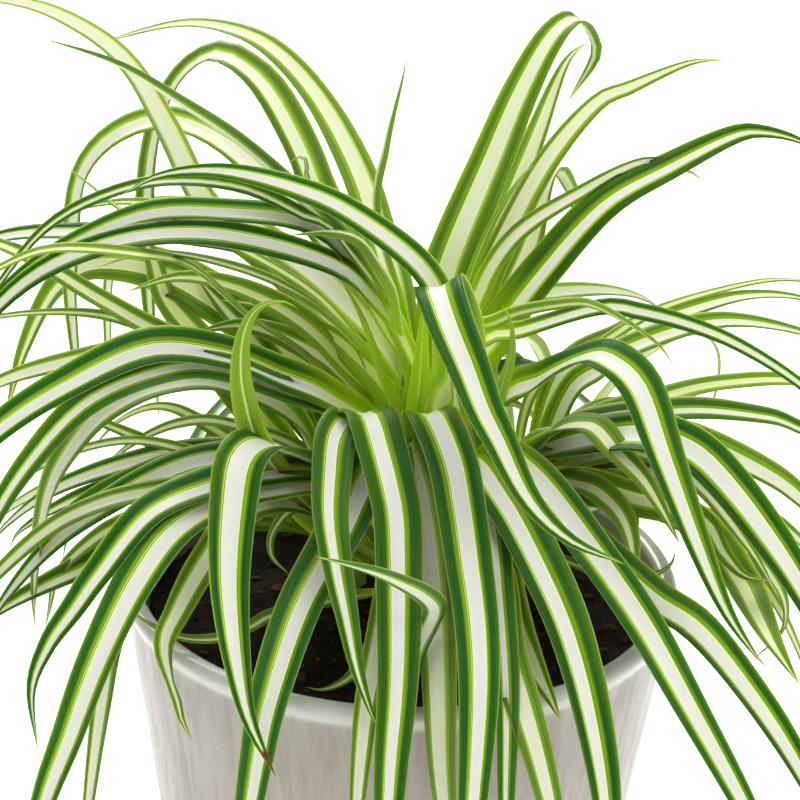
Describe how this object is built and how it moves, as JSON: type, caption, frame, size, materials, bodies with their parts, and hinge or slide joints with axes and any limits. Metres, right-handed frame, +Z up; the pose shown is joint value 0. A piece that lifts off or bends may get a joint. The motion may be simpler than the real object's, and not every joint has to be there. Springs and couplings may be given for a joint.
{
  "type": "potted spider plant",
  "caption": "Potted spider plant: crowns of long arching white-striped leaves growing from soil in a round tapered glazed pot.",
  "frame": {"origin": "centre of the pot's flat base, on the surface it stands on", "axes": "+Z up along the pot's axis, -Y towards the side that the picture shows, +X to the right in the picture"},
  "size_m": [0.3448, 0.2912, 0.3204],
  "materials": {
    "glazed_pot": "warm white ceramic glaze with fine vertical brushed streaks and a smooth rounded lip",
    "potting_soil": "dark crumbly potting soil with bits of bark",
    "leaf": "satin leaf: blue-green margins, thin lime lines and a white central stripe"
  },
  "bodies": {
    "root": {"pot": "glazed_pot", "soil": "potting_soil", "crown_back": "leaf", "crown_left": "leaf", "crown_right": "leaf", "crown_front": "leaf"}
  },
  "joints": []
}
